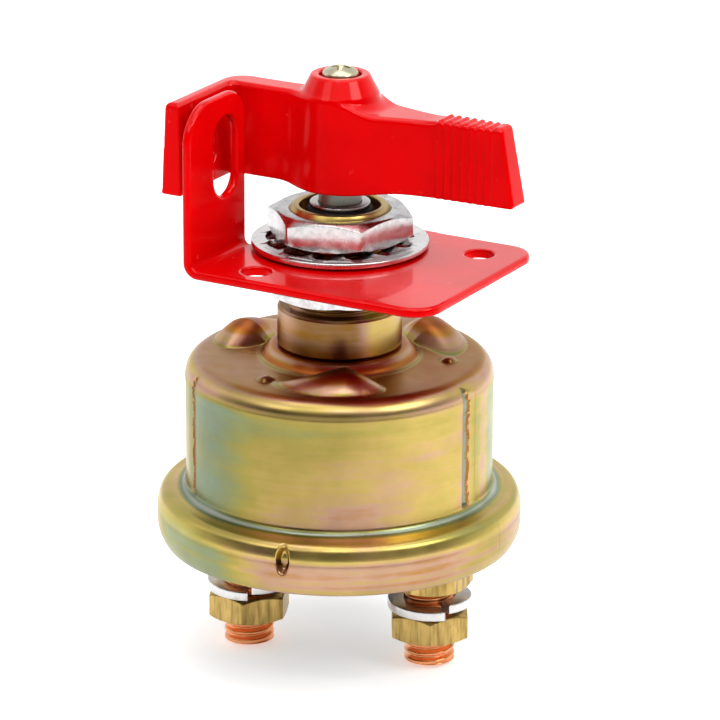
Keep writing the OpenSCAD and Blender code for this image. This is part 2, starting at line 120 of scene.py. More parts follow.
def skin(field, low, high, step):
    """Points and quads of the surface where field(x, y, z) is zero, with a point in each cell it crosses."""
    axes = [np.arange(low[i] - 1.5 * step, high[i] + 2.5 * step, step) for i in range(3)]
    grid = (axes[0][:, None, None], axes[1][None, :, None], axes[2][None, None, :])
    value = np.broadcast_to(field(*grid), [len(a) for a in axes])
    inside = value < 0
    size = np.array(value.shape) - 1
    corners = list(product((0, 1), repeat=3))
    count = np.zeros(size, np.int8)
    for c in corners:
        count += inside[c[0]:c[0] + size[0], c[1]:c[1] + size[1], c[2]:c[2] + size[2]]
    crossed = (count > 0) & (count < 8)
    cells = np.argwhere(crossed)
    index = np.full(size, -1)
    index[crossed] = np.arange(len(cells))
    total = np.zeros((len(cells), 3))
    hits = np.zeros(len(cells))
    for c in corners:
        for axis in range(3):
            if c[axis]:
                continue
            a = cells + c
            b = a.copy()
            b[:, axis] += 1
            va = value[a[:, 0], a[:, 1], a[:, 2]]
            vb = value[b[:, 0], b[:, 1], b[:, 2]]
            cut = (va < 0) != (vb < 0)
            t = va[cut] / (va[cut] - vb[cut])
            local = np.tile(np.array(c, float), (cut.sum(), 1))
            local[:, axis] += t
            total[cut] += local
            hits[cut] += 1
    points = np.array([a[0] for a in axes]) + (cells + total / hits[:, None]) * step
    quads = []
    for axis in range(3):
        u, w = (axis + 1) % 3, (axis + 2) % 3
        first = np.take(inside, range(0, inside.shape[axis] - 1), axis)
        second = np.take(inside, range(1, inside.shape[axis]), axis)
        edges = np.argwhere(first != second)
        keep = (edges[:, u] > 0) & (edges[:, w] > 0) & (edges[:, u] < size[u]) & (edges[:, w] < size[w])
        edges = edges[keep]
        outward = first[edges[:, 0], edges[:, 1], edges[:, 2]]
        ring = []
        for du, dw in ((1, 1), (0, 1), (0, 0), (1, 0)):
            cell = edges.copy()
            cell[:, u] -= du
            cell[:, w] -= dw
            ring.append(index[cell[:, 0], cell[:, 1], cell[:, 2]])
        ring = np.stack(ring, 1)
        ring[~outward] = ring[~outward][:, ::-1]
        quads.append(ring)
    # slide each point onto the true surface
    tiny = 0.02
    for _ in range(4):
        p = points.T
        d = field(*p)
        slope = np.stack([(field(*(p + s)) - field(*(p - s))) / (2 * tiny)
                          for s in (np.eye(3) * tiny)[:, :, None]], 1)
        move = slope * (d / np.maximum((slope ** 2).sum(1), 0.2))[:, None]
        length = np.linalg.norm(move, axis=1, keepdims=True)
        points = points - move * np.minimum(1, 0.4 * step / np.maximum(length, 1e-9))
    return points, np.concatenate(quads)


def wrap(rows, closed_rows=True):
    """Quads over a grid of points rows[i][j] that closes round j, and round i when closed_rows is true."""
    n, m = rows.shape[:2]
    i = np.arange(n if closed_rows else n - 1)[:, None]
    j = np.arange(m)[None, :]
    this_row, next_row = i * m, (i + 1) % n * m
    this_column, next_column = j, (j + 1) % m
    quads = np.stack([this_row + this_column, this_row + next_column,
                      next_row + next_column, next_row + this_column], -1)
    return rows.reshape(-1, 3), quads.reshape(-1, 4)


def fillet(points, radius, steps=3):
    """Rounds every corner of a closed outline by one radius, or by one for each, as far as its sides allow."""
    longest_share, shortest_cut, least_tangent = 0.45, 1e-5, 1e-3
    out = []
    n = len(points)
    radii = radius if hasattr(radius, "__len__") else [radius] * n
    for i in range(n):
        p, a, b = (np.array(points[k % n], float) for k in (i, i - 1, i + 1))
        to_a, to_b = a - p, b - p
        length_a, length_b = np.linalg.norm(to_a), np.linalg.norm(to_b)
        to_a, to_b = to_a / length_a, to_b / length_b
        half = math.acos(max(-1, min(1, float(to_a @ to_b)))) / 2
        cut = min(radii[i] / max(math.tan(half), least_tangent), longest_share * min(length_a, length_b))
        if cut < shortest_cut:
            out.append(p)
            continue
        start, end = p + to_a * cut, p + to_b * cut
        for s in range(steps + 1):
            t = s / steps
            out.append(start * (1 - t) ** 2 + p * 2 * t * (1 - t) + end * t ** 2)
    return np.array(out)


def turn_profile(profile, columns):
    """Grid of points of a closed [radius, height] outline turned round Z."""
    a = np.radians(np.arange(columns) * 360 / columns)[None, :]
    r = profile[:, 0][:, None]
    z = np.broadcast_to(profile[:, 1][:, None], (len(profile), a.shape[1]))
    return np.stack([r * np.cos(a), r * np.sin(a), z], -1)


def paint(piece, film, painted_light):
    """Stores the film thickness of the plating and its painted light and shade on the points of a piece."""
    for name, values in (("film", film), ("painted_light", painted_light)):
        data = piece.data.attributes.new(name, "FLOAT", "POINT")
        data.data.foreach_set("value", np.ravel(values).astype(np.float32))


def swept(name, rings, node, material, body=RIGID):
    """A section carried along a path, with a flat face at each end."""
    rows = np.array(rings)
    points, quads = wrap(rows, closed_rows=False)
    per_ring = rows.shape[1]
    last = (len(rows) - 1) * per_ring
    ends = [range(per_ring), range(last + per_ring - 1, last - 1, -1)]
    return add_mesh(name, points, quads[:, ::-1].tolist() + ends, node, material, body)


# ---------------------------------------------------------------- materials
MIX_FACTOR, MIX_A, MIX_B, MIX_RESULT = 0, 6, 7, 2      # places of the colour sockets of a mix node


def fill_ramp(node, stops):
    """Sets the stops of a colour ramp from (position, colour) pairs."""
    elements = node.color_ramp.elements
    while len(elements) < len(stops):
        elements.new(0.5)
    for element, (position, colour) in zip(elements, stops):
        element.position = position
        element.color = colour


class Nodes:
    """Short names for building one material's node tree."""

    def __init__(self, name):
        self.material = bpy.data.materials.new(name)
        self.material.use_nodes = True
        self.tree = self.material.node_tree
        self.shader = self.tree.nodes["Principled BSDF"]
        coord = self.tree.nodes.new("ShaderNodeTexCoord")
        self.place = coord.outputs["Object"]
        self.facing = coord.outputs["Normal"]

    def feed(self, socket, value):
        """Links a socket to another one, or sets its value."""
        if isinstance(value, bpy.types.NodeSocket):
            self.tree.links.new(value, socket)
        else:
            socket.default_value = value

    def put(self, kind, output=0, **inputs):
        """Adds a node, feeds its inputs and gives back one of its outputs."""
        node = self.tree.nodes.new(kind)
        for key, value in inputs.items():
            self.feed(node.inputs[key.replace("_", " ")], value)
        return node.outputs[output]

    def stretch(self, x, y, z, vector=None):
        return self.put("ShaderNodeMapping", Vector=vector or self.place, Scale=(x, y, z))

    def noise(self, scale, detail=3.0, rough=0.55, vector=None):
        return self.put("ShaderNodeTexNoise", Vector=vector or self.place, Scale=scale, Detail=detail,
                        Roughness=rough)

    def math(self, operation, a, b):
        node = self.tree.nodes.new("ShaderNodeMath")
        node.operation = operation
        self.feed(node.inputs[0], a)
        self.feed(node.inputs[1], b)
        return node.outputs[0]

    def swing(self, value, amount):
        """A value around a half, as an offset of up to half the amount."""
        return self.math("MULTIPLY", self.math("SUBTRACT", value, 0.5), amount)

    def attribute(self, name):
        node = self.tree.nodes.new("ShaderNodeAttribute")
        node.attribute_name = name
        return node.outputs["Fac"]

    def span(self, value, low, high, to_low=0.0, to_high=1.0):
        return self.put("ShaderNodeMapRange", Value=value, From_Min=low, From_Max=high, To_Min=to_low,
                        To_Max=to_high)

    def colours(self, value, stops):
        node = self.tree.nodes.new("ShaderNodeValToRGB")
        fill_ramp(node, [(position, (*colour, 1)) for position, colour in stops])
        self.feed(node.inputs["Fac"], value)
        return node.outputs["Color"]

    def mix(self, factor, a, b, blend_type="MIX"):
        node = self.tree.nodes.new("ShaderNodeMix")
        node.data_type = "RGBA"
        node.blend_type = blend_type
        self.feed(node.inputs[MIX_FACTOR], factor)
        for index, colour in ((MIX_A, a), (MIX_B, b)):
            self.feed(node.inputs[index], (*colour, 1) if isinstance(colour, tuple) else colour)
        return node.outputs[MIX_RESULT]

    def bump(self, height, strength, distance_mm, **under):
        return self.put("ShaderNodeBump", Height=height, Strength=strength, Distance=distance_mm * MM,
                        **under)

    def finish(self, **inputs):
        """Feeds the surface shader and gives back the material."""
        for key, value in inputs.items():
            self.feed(self.shader.inputs[key.replace("_", " ")], value)
        return self.material


def red_coat():
    """Glossy red: the coat is glossier on what faces up, and faces that point down have painted shade, a
    darker red.
    """
    n = Nodes("red_powder_coat")
    tint = n.colours(n.noise(60, 4), [(0.35, (0.66, 0.0005, 0.002)), (0.65, (0.78, 0.001, 0.003))])
    specks = n.span(n.noise(420, 2), 0.70, 0.76)
    colour = n.mix(specks, tint, (0.78, 0.05, 0.05))
    upward = n.put("ShaderNodeSeparateXYZ", 2, Vector=n.facing)
    # painted shade: faces that point down are blended towards a near-black red
    colour = n.mix(n.span(upward, -0.9, -0.3, 0.65, 0.0), colour, (0.03, 0.0, 0.0))
    waves = n.bump(n.noise(260, 2), 0.10, 0.06)
    pips = n.bump(n.span(n.noise(900, 1), 0.66, 0.80), 0.12, 0.04, Normal=waves)
    return n.finish(Base_Color=colour, Roughness=n.span(n.noise(130, 4), 0.3, 0.7, 0.16, 0.27), Normal=pips,
                    Metallic=0.0, IOR=1.5, Coat_Weight=n.span(upward, 0.15, 0.55, 0.06, 0.65),
                    Coat_Roughness=0.03, Specular_IOR_Level=0.35, Specular_Tint=(1, 0.04, 0.04, 1))


# pale colour of bare metal where the sheet is torn, also used for the painted highlight along the crease
BARE_METAL_AND_HIGHLIGHT = (0.78, 0.78, 0.70)
# plating colours by film thickness: from teal by yellow, pale gold, pink and orange to dark red-brown
FILM = [(0.00, (0.33, 0.40, 0.27)), (0.13, (0.38, 0.40, 0.19)), (0.27, (0.50, 0.42, 0.12)),
        (0.40, (0.62, 0.46, 0.16)), (0.52, (0.64, 0.40, 0.29)), (0.64, (0.55, 0.29, 0.07)),
        (0.78, (0.49, 0.17, 0.04)), (0.90, (0.34, 0.12, 0.05)), (1.00, (0.22, 0.07, 0.04))]


def zinc_yellow():
    """Iridescent chromate: the pieces carry a film thickness and painted light and shade, and noise breaks
    both up.
    """
    n = Nodes("yellow_zinc")
    clouds = n.noise(60, 4, 0.55, n.stretch(0.7, 0.7, 1.6))
    streaks = n.noise(220, 3, 0.6, n.stretch(0.25, 0.25, 3))
    film = n.math("ADD", n.attribute("film"), n.swing(clouds, 0.55))
    film = n.math("ADD", film, n.swing(streaks, 0.26))
    colour = n.colours(film, FILM)
    # film below zero shows bare metal; the crease uses this as a painted highlight
    colour = n.mix(n.span(n.attribute("film"), -0.02, -0.25), colour, BARE_METAL_AND_HIGHLIGHT)
    # painted light and shade stored on the points, mottled at random by noise
    painted_light = n.math("MULTIPLY", n.attribute("painted_light"), n.span(n.noise(85, 4), 0.3, 0.7, 0.86, 1.12))
    shade = n.colours(painted_light, [(0.0, (0.1, 0.1, 0.1)), (1.0, (1.0, 1.0, 1.0))])
    colour = n.mix(1.0, colour, shade, "MULTIPLY")
    rough = n.span(n.noise(90, 5), 0.3, 0.7, 0.26, 0.38)
    grain = n.noise(1400, 2, 0.6)
    lines = n.noise(500, 2, 0.5, n.stretch(0.2, 0.2, 3))
    normal = n.bump(lines, 0.06, 0.03, Normal=n.bump(grain, 0.10, 0.03))
    return n.finish(Base_Color=colour, Roughness=rough, Normal=normal, Metallic=1.0)


def worn_metal(name, low, high, rough, metallic=1.0, lines=(1, 1, 1), line_scale=700, depth=0.08, grime=0.15):
    """Metal with cloudy colour between low and high, and fine machining lines stretched by lines."""
    n = Nodes(name)
    cloud_scale = 55
    colour = n.colours(n.noise(cloud_scale, 5, 0.62), [(0.30, low), (0.70, high)])
    spots = n.span(n.noise(cloud_scale * 7, 3), 0.62, 0.75)
    colour = n.mix(n.math("MULTIPLY", spots, 0.35), colour, tuple(0.55 * c for c in low))
    line = n.noise(line_scale, 3, 0.6, n.stretch(*lines))
    colour = n.mix(grime, colour, n.colours(line, [(0.35, (0.35, 0.33, 0.30)), (0.6, (1, 1, 1))]), "MULTIPLY")
    rough_map = n.math("ADD", n.span(n.noise(cloud_scale * 2, 4), 0.3, 0.7, *rough), n.swing(line, 0.12))
    return n.finish(Base_Color=colour, Roughness=rough_map, Normal=n.bump(line, depth, 0.04),
                    Metallic=metallic)


RED = red_coat()
ZINC = zinc_yellow()
NICKEL = worn_metal("bright_nickel", (0.52, 0.51, 0.52), (0.84, 0.82, 0.82), (0.16, 0.30), depth=0.16,
                    grime=0.4)
WASHER = worn_metal("bright_plate", (0.74, 0.72, 0.72), (0.94, 0.92, 0.92), (0.20, 0.32))
SHAFT = worn_metal("dull_steel", (0.30, 0.33, 0.29), (0.48, 0.52, 0.46), (0.30, 0.45), metallic=0.35)
COPPER = worn_metal("bare_copper", (0.80, 0.30, 0.13), (0.98, 0.52, 0.28), (0.22, 0.38), lines=(0.3, 0.3, 3))
BRASS = worn_metal("brushed_brass", (0.48, 0.33, 0.11), (0.74, 0.54, 0.22), (0.28, 0.45), lines=(3, 3, 0.4),
                   line_scale=260, depth=0.18, grime=0.7)
STEEL = worn_metal("bright_steel", (0.58, 0.57, 0.56), (0.80, 0.79, 0.78), (0.24, 0.40))
SCREW = worn_metal("pale_zinc", (0.54, 0.50, 0.33), (0.74, 0.70, 0.54), (0.22, 0.36))
PHENOLIC = worn_metal("phenolic", (0.018, 0.013, 0.010), (0.035, 0.025, 0.018), (0.45, 0.60), metallic=0.0,
                      depth=0.2)
NYLON = worn_metal("natural_nylon", (0.62, 0.55, 0.40), (0.72, 0.65, 0.50), (0.40, 0.55), metallic=0.0,
                   depth=0.1)
RUBBER = worn_metal("black_rubber", (0.015, 0.015, 0.015), (0.03, 0.03, 0.03), (0.55, 0.75), metallic=0.0,
                    depth=0.2)

for node_name, material in {
        "base_plate": PHENOLIC, "base_gasket": RUBBER, "shaft_seal": RUBBER, "retaining_clip": STEEL,
        "rotor": NYLON, "spring_seat": STEEL, "contact_bridge": COPPER}.items():
    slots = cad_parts[node_name].data.materials
    slots.clear()
    slots.append(material)
    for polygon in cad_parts[node_name].data.polygons:
        polygon.material_index = 0


# ---------------------------------------------------------------- lever
FAR = 60.0                   # a plane further out than anything on the lever
HUB_R, HUB_BLEND = 7.9, 3.0
ARM_Y0, ARM_Y1, ARM_TOP, ARM_BOTTOM = -5.1, 1.6, 31.7, 14.3
BELLY = 0.6                  # how far the underside of the hub hangs below the arm
FOOT_X, FOOT_T, FOOT_Y, FOOT_CORNER_R, FOOT_BLEND = -24.0, 3.8, -23.8, 5.0, 1.6
GRIP_X, GRIP_X0, GRIP_HALF, GRIP_TOP, GRIP_BOTTOM = 37.6, 18.0, 3.4, 29.2, 15.0
GRIP_ROOT_X, GRIP_BLEND, GRIP_TAPER, GRIP_RISE, GRIP_LEAN = 10.0, 0.8, 0.042, 0.25, math.radians(10.5)
DRAFT, PARTING_Z = 0.035, 18.0
TOP_EDGE_R, BOTTOM_EDGE_R, END_EDGE_R = 0.95, 0.35, 0.7
RIB_X, RIB_PITCH, RIB_END, RIB_FADE = 22.2, 1.645, 32.9, 0.3
TOP_RIB, SIDE_RIB, TIP_LAND = 0.42, 0.14, 0.38
RIM_Z, RIM_R, RIM_EDGE_R = 35.05, 5.45, 0.3
CONE_SLOPE, CONE_ROOT_Z, CONE_INSET = 0.526, 26.0, 0.15
RECESS_R, RECESS_DEPTH, RECESS_EDGE_R = 3.95, 1.2, 0.35
PADLOCK_Y, PADLOCK_Z, PADLOCK_R, PADLOCK_EDGE_R, PADLOCK_END_X = -14.0, 21.2, 4.0, 0.7, -15.0


def lever_field(x, y, z):
    """The casting: a foot and arm, a hub, and a tapered grip with ribs over the top and down the sides."""
    foot = smooth_min(box2(x, y, FOOT_X, 0, ARM_Y0, ARM_Y1),
                      box2(x, y, FOOT_X, FOOT_X + FOOT_T, FOOT_Y, ARM_Y1), FOOT_BLEND)
    foot = np.maximum(foot, box2(x, y, FOOT_X, FAR, -FAR, ARM_Y1, FOOT_CORNER_R))
    # straight sides run from the hub's circle to the grip
    lean = math.asin((HUB_R - GRIP_HALF) / GRIP_X0)
    along = x * math.cos(lean) - np.abs(y) * math.sin(lean)
    flank = x * math.sin(lean) + np.abs(y) * math.cos(lean) - HUB_R
    hub = np.where(along < 0, np.hypot(x, y) - HUB_R, flank)
    grip = np.maximum(np.abs(y) - GRIP_HALF + (x - GRIP_X0) * GRIP_TAPER, GRIP_ROOT_X - x)
    plan = smooth_min(smooth_min(foot, hub, HUB_BLEND), grip, GRIP_BLEND)
    draft = DRAFT * (z - PARTING_Z)
    top = ARM_TOP - (ARM_TOP - GRIP_TOP) * ramp(x, 1.5, 10) + GRIP_RISE * ramp(x, 19, 23)
    bottom = ARM_BOTTOM - BELLY * ramp(x, -10.5, -5.5) + (GRIP_BOTTOM - ARM_BOTTOM + BELLY) * ramp(x, 3, 16)
    past_ribs = ramp(x, RIB_END, RIB_END + RIB_FADE)
    ribbed = ramp(x, RIB_X - 1.0, RIB_X - 0.6) * (1 - past_ribs)
    wave = np.cos((x - RIB_X) * 2 * math.pi / RIB_PITCH)
    top_rib = ribbed * (0.5 + 0.5 * wave) * TOP_RIB + (1 - ribbed) * past_ribs * TIP_LAND
    sides = plan + draft - ribbed * wave * SIDE_RIB
    body = np.maximum(round_both(sides, z - top - top_rib, TOP_EDGE_R),
                      round_both(sides, bottom - z, BOTTOM_EDGE_R))
    end = (x - GRIP_X) * math.cos(GRIP_LEAN) + (z - GRIP_BOTTOM) * math.sin(GRIP_LEAN)
    body = round_both(body, end, END_EDGE_R)
    # hub cone with its recess
    r = np.hypot(x, y)
    cone = (r - (RIM_R + (RIM_Z - z) * CONE_SLOPE)) / math.hypot(1, CONE_SLOPE)
    cone = np.maximum(cone, r - HUB_R + CONE_INSET + draft)
    cone = round_both(cone, np.maximum(z - RIM_Z, CONE_ROOT_Z - z), RIM_EDGE_R)
    body = smooth_min(body, cone, 0.5 + 1.6 * ramp(x, 4, 9))
    body = smooth_max(body, -np.maximum(r - RECESS_R, RIM_Z - RECESS_DEPTH - z), RECESS_EDGE_R)
    hole = np.maximum(np.hypot(y - PADLOCK_Y, z - PADLOCK_Z) - PADLOCK_R, x - PADLOCK_END_X)
    return smooth_max(body, -hole, PADLOCK_EDGE_R)


points, quads = skin(lever_field, (-24.5, -24.5, 12.5), (38.5, 9, 36), 0.27 * COARSE)
add_mesh("lever_casting", points, quads, "lever", RED, LEVER)


# ---------------------------------------------------------------- lock plate
PLATE_T, PLATE_EDGE_R, PLATE_CORNER_R = 1.75, 0.62, 5.6
PLATE_Y0, PLATE_Y1, PLATE_X1 = -27.35, 16.6, 33.4
BEND_X, BEND_Z, BEND_MID = -14.8, 2.95, 2.075      # centre of the bend, and radius of the sheet's middle
TAB_TOP, TAB_Y1, TAB_NEAR_R, TAB_FAR_R, TAB_CORNER_Z = 32.2, -7.3, 7.5, 5.5, 15.0
TAB_FOOT = 4.0               # how far the tab's own field runs past the bend
SLOT_Y, SLOT_Z0, SLOT_Z1, SLOT_R, SLOT_EDGE_R = -14.4, 12.7, 28.0, 4.1, 0.55
STEM_R = 9.525
PLATE_HOLES = ((0, 0, STEM_R + 0.15), (25, 8.4, 2.75), (-5.3, -21.6, 2.75))     # x, y and radius
HOLE_EDGE_R, ABOVE_SHEET_Z, OUTSIDE = 0.35, 4.0, 9.0


def plate_field(x, y, z):
    """The pressing: a flat sheet with three holes, a bend, and an upright tab with a slot."""
    flat = smooth_min(box2(x, y, 0, PLATE_X1, PLATE_Y0, PLATE_Y1, PLATE_CORNER_R),
                      box2(x, y, BEND_X, 20, PLATE_Y0, TAB_Y1), 0.5)
    flat = smooth_min(flat, np.minimum(np.hypot(x, y) - PLATE_Y1, box2(x, y, 0, 12, -5, PLATE_Y1)), 1.0)
    flat = np.minimum(flat, box2(x, y, -5, 12, PLATE_Y0, 0))
    sheet = round_both(flat, np.abs(z - PLATE_T / 2) - PLATE_T / 2, PLATE_EDGE_R)
    # bend and upright tab
    u, v = x - BEND_X, z - BEND_Z
    off_bend = np.abs(np.hypot(u, v) - BEND_MID)
    off_middle = np.where(u > 0, np.abs(v + BEND_MID), np.where(v > 0, np.abs(u + BEND_MID), off_bend))
    mid_y = (PLATE_Y0 + TAB_Y1) / 2
    radius = np.where(z < TAB_CORNER_Z, 0.0, np.where(y < mid_y, TAB_NEAR_R, TAB_FAR_R))
    qy = np.abs(y - mid_y) - (TAB_Y1 - PLATE_Y0) / 2 + radius
    qz = z - TAB_TOP + radius
    outline = np.hypot(np.maximum(qy, 0), np.maximum(qz, 0)) + np.minimum(np.maximum(qy, qz), 0) - radius
    outline = np.maximum(outline, u - TAB_FOOT)
    tab = round_both(outline, off_middle - PLATE_T / 2, PLATE_EDGE_R)
    past_slot_centre = np.abs(z - (SLOT_Z0 + SLOT_Z1) / 2) - (SLOT_Z1 - SLOT_Z0) / 2 + SLOT_R
    slot = np.hypot(y - SLOT_Y, np.maximum(past_slot_centre, 0)) - SLOT_R
    tab = round_both(tab, -slot, SLOT_EDGE_R)
    body = np.minimum(sheet, np.where((u < TAB_FOOT) | (y < TAB_Y1), tab, OUTSIDE))
    for hole_x, hole_y, hole_r in PLATE_HOLES:
        hole = hole_r - np.hypot(x - hole_x, y - hole_y) - OUTSIDE * np.maximum(z - ABOVE_SHEET_Z, 0)
        body = round_both(body, hole, HOLE_EDGE_R)
    return body


points, quads = skin(plate_field, (-18.2, -27.8, -0.6), (33.6, 17.2, 32.8), 0.3 * COARSE)
add_mesh("lock_plate_pressing", points, quads, "lock_plate", RED)


# ---------------------------------------------------------------- nuts
STUD_LINE_DEG, STUD_SPACING, STUD_R, STUD_END_Z = 13.0, 36.0, 4.7625, -79.4
STEM_NUT_FLATS, STEM_NUT_BORE_R = 24.3, 8.9
STUD_NUT_FLATS, STUD_NUT_BORE_R = 14.29, 4.3
NUT_CORNER_R, NUT_BORE_SINK, NUT_FLAT_INSET, NUT_CHAMFER_SLOPE = 0.25, 0.8, 0.35, 0.5


def on_stud(side):
    """Plan position of a stud: side is -1 for left and 1 for right."""
    a = math.radians(STUD_LINE_DEG)
    return side * STUD_SPACING / 2 * math.cos(a), side * STUD_SPACING / 2 * math.sin(a)


def hex_outline(flats, corner_round):
    """Points of a hexagon with small round corners, as [x, y]."""
    per_side, per_corner = 9, 4
    corner = flats / math.sqrt(3)
    out = []
    for k in range(6):
        centre_r = corner - corner_round / math.cos(math.radians(30))
        a = math.radians(60 * k)
        centre = centre_r * np.array([math.cos(a), math.sin(a)])
        for s in range(per_corner):
            t = a + math.radians(-30 + 60 * s / (per_corner - 1))
            out.append(centre + corner_round * np.array([math.cos(t), math.sin(t)]))
        b = a + math.radians(60)
        nxt = centre_r * np.array([math.cos(b), math.sin(b)])
        t = a + math.radians(30)
        n = np.array([math.cos(t), math.sin(t)])
        for s in range(1, per_side):
            out.append(centre * (1 - s / per_side) + nxt * (s / per_side) + corner_round * n)
    return np.array(out)


def stand(section, angle, centre=(0, 0)):
    """Points of a [radius, height] section stood up at an angle in radians round a centre."""
    r, z = np.transpose(section)
    return np.stack([r * math.cos(angle) + centre[0], r * math.sin(angle) + centre[1], z], -1)


def hex_nut(name, node, flats, z0, z1, bore_r, turn_deg, centre, material):
    """A hexagon nut with its corners chamfered and its bore countersunk at both faces."""
    flat_r = flats / 2 - NUT_FLAT_INSET
    sink = NUT_BORE_SINK
    sections = []
    for x, y in hex_outline(flats, NUT_CORNER_R):
        r = math.hypot(x, y)
        drop = max(r - flat_r, 0.05) * NUT_CHAMFER_SLOPE
        profile = [[bore_r, z0 + sink], [bore_r + sink, z0], [flat_r, z0], [r, z0 + drop],
                   [r, z1 - drop], [flat_r, z1], [bore_r + sink, z1], [bore_r, z1 - sink]]
        curve = fillet(profile, [0.1, 0.15, 0.2, 0.14, 0.14, 0.2, 0.15, 0.1])
        sections.append(stand(curve, math.atan2(y, x) + math.radians(turn_deg), centre))
    points, quads = wrap(np.swapaxes(np.array(sections), 0, 1))
    return add_mesh(name, points, quads, node, material)


def stem_nut(name, node, z0, z1, turn_deg):
    hex_nut(name, node, STEM_NUT_FLATS, z0, z1, STEM_NUT_BORE_R, turn_deg, (0, 0), NICKEL)


def stud_nut(name, node, z0, z1, turn_deg, side):
    hex_nut(name, node, STUD_NUT_FLATS, z0, z1, STUD_NUT_BORE_R, STUD_LINE_DEG + turn_deg, on_stud(side),
            BRASS)


stem_nut("stem_nut_upper", "upper_stem_nut", 3.69, 9.29, 15.7)
stem_nut("stem_nut_lower", "lower_stem_nut", -7.5, 0.0, -2.0)
for side, label, base_turn, cable_turn in ((-1, "left", 8, -21), (1, "right", 20, -13)):
    stud_nut("base_nut_" + label + "_brass", "base_nut_" + label, -64.0, -58.2, base_turn, side)
    stud_nut("cable_nut_" + label + "_brass", "terminal_nut_" + label, -74.0, -68.6, cable_turn, side)


# ---------------------------------------------------------------- threaded stem and studs
THREAD_PITCH = 1.5875
NECK_TOP, NECK_BOTTOM, NECK_R = -9.4, -17.3, 11.7
BORE_R, RELIEF_R, RELIEF_BOTTOM, STEM_TOP = 4.05, 7.6, 7.0, 9.9
FLANGE_R, FLANGE_Z0, FLANGE_Z1, HOUSING_HOLE_R = 10.3, -19.7, -18.5, 8.0


def threaded_rows(r, z_from, z_to, columns, depth):
    """Rows of points along a right-hand screw thread from z_from to z_to, fading out at both ends."""
    steps_per_turn = 12
    steps = int(round(abs(z_to - z_from) / THREAD_PITCH * steps_per_turn))
    z = np.linspace(z_from, z_to, steps + 1)[:, None]
    a = (np.arange(columns) * 2 * math.pi / columns)[None, :]
    phase = (z / THREAD_PITCH - a / (2 * math.pi)) % 1.0
    groove = np.clip(1.25 - np.abs(phase - 0.5) * 3.0, 0, 1)
    groove = groove * groove * (3 - 2 * groove)
    ends = np.minimum(np.abs(z - z_from), np.abs(z_to - z)) / (0.45 * THREAD_PITCH)
    radius = r - depth * groove * np.clip(ends, 0, 1)
    return np.stack([radius * np.cos(a), radius * np.sin(a), np.broadcast_to(z, radius.shape)], -1)


def turned_stem():
    """The threaded stem with its neck, bore and rolled flange; the neck is darker than where the thread shows,
    with painted reflections as brighter bands.
    """
    columns, bevel = 120, 0.5
    thread = threaded_rows(STEM_R, NECK_TOP + 0.4, STEM_TOP - 0.8, columns, depth=0.85)
    outline = [[STEM_R - 0.75, STEM_TOP], [RELIEF_R + 0.15, STEM_TOP], [RELIEF_R, STEM_TOP - 0.2],
               [RELIEF_R, RELIEF_BOTTOM], [BORE_R, RELIEF_BOTTOM], [BORE_R, FLANGE_Z0],
               [FLANGE_R, FLANGE_Z0], [FLANGE_R, FLANGE_Z1], [HOUSING_HOLE_R, FLANGE_Z1],
               [HOUSING_HOLE_R, NECK_BOTTOM], [NECK_R - bevel, NECK_BOTTOM], [NECK_R, NECK_BOTTOM + bevel],
               [NECK_R, NECK_TOP - bevel], [NECK_R - bevel, NECK_TOP], [STEM_R + 0.3, NECK_TOP],
               [STEM_R, NECK_TOP + 0.3]]
    points, quads = wrap(np.concatenate([thread, turn_profile(fillet(outline, 0.12), columns)]))
    piece = add_mesh("stem_turned", points, quads, "stem", ZINC)
    around = turn_gap(np.arctan2(points[:, 1], points[:, 0]), FACING_DEG)
    # painted light on the neck: a darker middle facing the camera, with brighter, paler bands to its right and
    # left as painted reflections
    right = ramp(around, 12, 36) - ramp(around, 75, 110)
    left = bell(around, -58, 16)
    above = points[:, 2] > 5
    film = np.where(above, 0.42, 0.66 - 0.24 * right - 0.1 * left)
    painted_light = np.where(above, 0.9, 0.40 + 0.5 * right + 0.3 * left)
    paint(piece, film, painted_light)


def threaded_stud(side, label):
    """A stud with its head inside the base and its thread down through the nuts."""
    columns, thread_depth, thread_z0, thread_z1, end_z = 72, 0.8, -58.2, -78.7, STUD_END_Z
    head_r, head_z0, head_z1, head_bevel, shank_r, axis_r = 7.2, -48.4, -45.1, 0.3, 4.55, 0.02
    thread = threaded_rows(STUD_R, thread_z0, thread_z1, columns, thread_depth)
    outline = [[STUD_R - thread_depth, end_z + 0.05], [1.2, end_z], [axis_r, end_z], [axis_r, head_z1],
               [head_r - head_bevel, head_z1], [head_r, head_z1 - head_bevel], [head_r, head_z0],
               [shank_r, head_z0], [shank_r, thread_z0 + 0.2]]
    steps = 2
    past_first_corner = fillet(outline, 0.2, steps)[steps + 1:]
    rows = np.concatenate([thread, turn_profile(past_first_corner, columns)])
    rows[..., :2] += on_stud(side)
    points, quads = wrap(rows)
    add_mesh("stud_" + label + "_threaded", points, quads[:, ::-1], "stud_" + label, COPPER)


turned_stem()
threaded_stud(-1, "left")
threaded_stud(1, "right")


# ---------------------------------------------------------------- washers, shaft and screw
def spring_washer(name, node, centre, start_deg):
    """Split spring washer: a rounded square section that drops from one end of the cut to the other."""
    inner_r, outer_r, thick, edge_r, low, rise, span_deg, steps = 4.95, 8.0, 1.8, 0.22, -68.6, 1.3, 354.6, 96
    section = fillet([[inner_r, 0], [outer_r, 0], [outer_r, thick], [inner_r, thick]], edge_r)
    rings = []
    for i in range(steps + 1):
        lift = low + rise * (1 - i / steps)
        rings.append(stand(section + [0, lift], math.radians(start_deg + span_deg * i / steps), centre))
    return swept(name, rings, node, STEEL)


